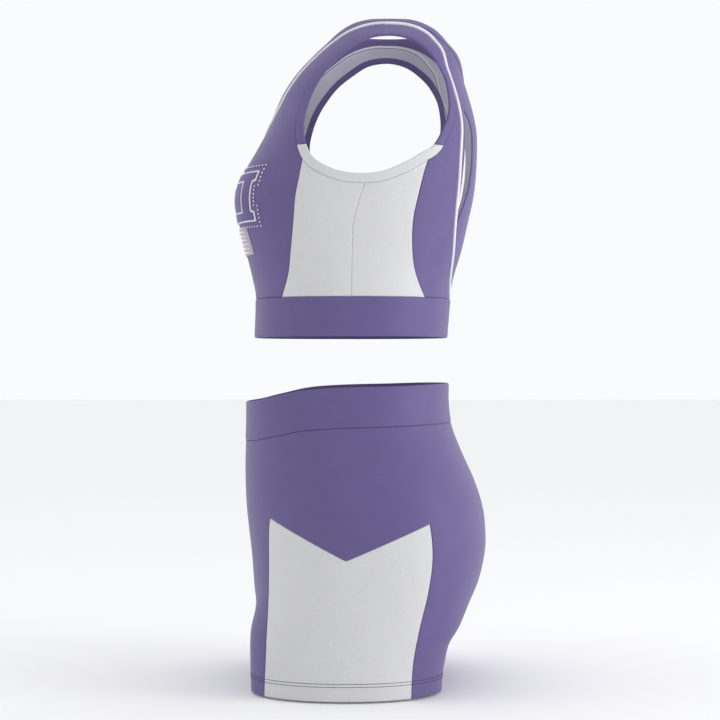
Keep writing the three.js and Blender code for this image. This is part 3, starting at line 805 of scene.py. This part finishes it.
def leg_rows():
    rows = []
    s, c = np.sin(TURNS), np.cos(TURNS)
    for i, (low, high) in enumerate(zip(LEG, LEG[1:])):
        steps = max(3, round((high[0] - low[0]) / RING_GAP))
        last = i == len(LEG) - 2
        for k in range(steps + last):
            z, outer, inner, front, back = between(LEG, i + k / steps)
            inner = max(inner, PAST_MIDDLE)
            centre, middle, depth = (outer + inner) / 2, (front + back) / 2, (back - front) / 2
            leg_x, leg_y = ring_at((outer - inner) / 2, depth, 2.1, TURNS)
            near = hip_reach(centre, inner, outer, depth)
            t = min(1, max(0, (z - FORK_Z) / FORK_RISE))
            mix = t * t * (3 - 2 * t)
            x = (centre + leg_x) * (1 - mix) + (centre + s * near) * mix
            y = middle + leg_y * (1 - mix) + c * near * mix
            # The seat: a shallow hollow up the middle and a tuck under each side.
            seat = np.clip((y - 20) / 60, 0, 1)
            y = y - 7 * seat * np.exp(-away(x, 0, 16) - away(z, 125, 62))
            y = y - 2.2 * seat * np.exp(-away(z, 52, 11)) * np.exp(-away(x, 75, 60))
            # The front lies flat over the belly and hollows a little at the top of each thigh.
            belly = np.clip((-y - 40) / 50, 0, 1)
            y = y + 2.0 * belly * np.exp(-away(x, 62, 26) - away(z, 92, 30))
            rows.append(np.stack([x, y, np.full_like(x, z)], -1))
    return rows


leg = grid_form(leg_rows())
leg = keep(leg, leg[0][:, 0])

# Waistband: a doubled purple band, higher at the back, with elastic inside it that is a little
# narrower than the band.
WAISTBAND = np.array([0, 42])
WAIST_TOP = smooth([
    (-200, 303), (-127, 305), (-95, 311), (-60, 318.5), (-20, 321.5), (35, 323), (100, 325),
    (200, 325),
], 60)
WAIST_SEAM = WAIST_TOP - WAISTBAND
WAIST_EASE = np.array([0, EASE])


def under(line):
    """Positive below a line that is walked from front to back."""
    return lambda t: -across(t[:, 1], t[:, 2], line)


def over(line):
    return lambda t: across(t[:, 1], t[:, 2], line)


def both_halves(form):
    """The left half and its mirror image, joined where they meet in the middle."""
    other = mirror(form)
    table = np.concatenate([form[0], other[0]])
    tri = np.concatenate([form[1], other[1] + len(form[0])])
    middle = np.abs(table[:, 0]) < 0.01
    table[middle, 0] = 0
    table[middle, 3] = 0
    _, first, again = np.unique(np.round(table[:, :3], 2), axis=0, return_index=True, return_inverse=True)
    return table[first], again.reshape(-1)[tri]


leg = keep(leg, under(WAIST_TOP))
form = both_halves(keep(leg, over(WAIST_SEAM)))
waistband = cloth("waistband", form, "shorts", *PURPLE_DOUBLED, **DOUBLED_BAND)
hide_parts("shorts_waistband")
form = both_halves(keep(keep(leg, under(WAIST_TOP - WAIST_EASE)), over(WAIST_SEAM + WAIST_EASE)))
elastic = cloth("waist_elastic", form, "shorts", *SOFT_ELASTIC, **INSIDE_BAND)
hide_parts("shorts_waist_elastic")

# Thigh inserts: white knit down the outside of each leg, with a dipped top edge, let into the
# purple panel and hemmed with it.
INSERT_IN = 92  # no part of an insert lies nearer the middle of the body than this
INSERT_FRONT = smooth([
    (-94, 200), (-94.3, 185.5), (-95.5, 168), (-96, 111), (-98, 52), (-100, 4), (-100, -20),
], 50)
INSERT_BACK = smooth([
    (70, 196), (72, 182), (74.5, 161), (74.5, 138), (69.7, 107), (61.4, 72), (55.5, 39), (53.8, 15),
    (53, -20),
], 60)
DIP_FRONT = np.array([(-94.3, 185.5), (-14.5, 144.5)], float)
DIP_BACK = np.array([(-14.5, 144.5), (72, 182)], float)


def in_insert(t):
    """Positive inside the insert: under both slopes of its top edge and between its sides."""
    y, z = t[:, 1], t[:, 2]
    below = np.maximum(-across(y, z, DIP_FRONT), -across(y, z, DIP_BACK))
    sides = np.minimum(across(y, z, INSERT_FRONT), -across(y, z, INSERT_BACK))
    return np.where(t[:, 0] > INSERT_IN, np.minimum(below, sides), -60.0)


trouser = keep(leg, under(WAIST_SEAM))
form = keep(trouser, in_insert)
for side in ("left", "right"):
    piece = cloth(f"side_insert_{side}", handed(side, form), "shorts", *WHITE_CLOTH)
    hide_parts(f"shorts_side_insert_{side}")

# Leg panels: one purple piece wraps each leg and its half of the hips. The two are sewn
# together up the centre front and the centre back, with a diamond gusset at the fork.
GUSSET_HALF_WIDTH, GUSSET_HALF_LENGTH = 32, 66
GUSSET_Y, GUSSET_FOOT = -14, 36


def in_gusset(t):
    reach = 1 - np.abs(t[:, 0]) / GUSSET_HALF_WIDTH - np.abs(t[:, 1] - GUSSET_Y) / GUSSET_HALF_LENGTH
    return np.minimum(reach * 28, t[:, 2] - GUSSET_FOOT)


form = keep(keep(trouser, lambda t: -in_insert(t)), lambda t: -in_gusset(t))
for side in ("left", "right"):
    piece = cloth(f"leg_panel_{side}", handed(side, form), "shorts", *PURPLE_CLOTH)
    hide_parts(f"shorts_leg_panel_{side}")
gusset = cloth("gusset", both_halves(keep(trouser, in_gusset)), "shorts", *PURPLE_CLOTH)
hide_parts("shorts_gusset")

# Leg hems: the cloth of each leg turned up inside it, in the white of its reverse, painted darker and
# lavender as shade and purple bounce light, and sewn down with a twin needle.
TURN_UP = 17
INSIDE_LEG = {"lift": -1.9, "thick": 0.8, "roll": 0.3}
TURNED_UP = ("purple_stretch_cloth", REVERSE_WITH_PAINTED_SHADE, REVERSE_WITH_PAINTED_SHADE)
form = keep(keep(trouser, lambda t: TURN_UP - t[:, 2]), lambda t: t[:, 2] - 1)
for side in ("left", "right"):
    piece = cloth(f"leg_hem_{side}", handed(side, form), "shorts", *TURNED_UP, **INSIDE_LEG)
    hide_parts(f"shorts_leg_hem_{side}")

# Twin-needle stitching: two rows of dark purple thread round each leg, which hold the
# turned-up cloth.
NEEDLES = (15.2, 18.4)  # heights of the two rows
STITCH, PITCH, THREAD_SIZE = 2.5, 3.0, 0.34
THREAD = knit("dark purple thread", (0.055, 0.045, 0.10), 0.7, 0.1)


def contour(form, value):
    """The lines on a form along which value is nothing, each as rows of place and normal."""
    table, here, _ = split(form, value(form[0]))
    start = len(form[0])
    links = {}
    for a, b in edge_pairs(here):
        if a >= start and b >= start:
            links.setdefault(a, []).append(b)
            links.setdefault(b, []).append(a)
    lines, seen = [], set()
    for first in sorted(links, key=lambda k: len(links[k])):
        if first in seen:
            continue
        line = [first]
        seen.add(first)
        while onward := [k for k in links[line[-1]] if k not in seen]:
            line.append(onward[0])
            seen.add(onward[0])
        if first in links[line[-1]] and len(line) > 2:
            line.append(first)
        lines.append(table[line, :6])
    return [line for line in lines if len(line) > 4]


def stitch(start, end):
    """One plump stitch: a point at each end, sunk in the cloth, and two square rings between."""
    normal = (start[3:] + end[3:]) / 2
    normal /= np.linalg.norm(normal) + 1e-9
    a, b = start[:3] + normal * 0.05, end[:3] + normal * 0.05
    along = (b - a) / (np.linalg.norm(b - a) + 1e-9)
    side = np.cross(along, normal) * THREAD_SIZE * 1.3
    rise = normal * THREAD_SIZE
    rings = [a + (b - a) * t + out for t in (0.22, 0.78) for out in (side, rise, -side, -rise)]
    return [a - rise * 0.6, *rings, b - rise * 0.6]


def stitches(name, lines):
    """Stitches laid end to end along the lines."""
    spots, faces = [], []
    for line in lines:
        steps = np.linalg.norm(np.diff(line[:, :3], axis=0), axis=1)
        run = np.concatenate([[0], np.cumsum(steps)])
        for u in np.arange(PITCH / 2, run[-1], PITCH):
            start, end = (
                np.array([np.interp(v, run, line[:, k]) for k in range(6)])
                for v in (u - STITCH / 2, u + STITCH / 2)
            )
            n = len(spots)
            spots += stitch(start, end)
            for k in range(4):
                m = (k + 1) % 4
                faces += [(n, n + 1 + m, n + 1 + k), (n + 9, n + 5 + k, n + 5 + m)]
                faces.append((n + 1 + k, n + 1 + m, n + 5 + m, n + 5 + k))
    mesh = bpy.data.meshes.new(name)
    mesh.from_pydata(np.array(spots) / 1000, [], faces)
    mesh.materials.append(THREAD)
    mesh.polygons.foreach_set("use_smooth", np.ones(len(mesh.polygons), dtype=bool))
    placed(name, mesh, "shorts")


for side in ("left", "right"):
    shape = handed(side, trouser)
    lower_row, upper_row = (contour(shape, lambda t: t[:, 2] - height) for height in NEEDLES)
    stitches(f"leg_hem_stitching_{side}", lower_row + upper_row)
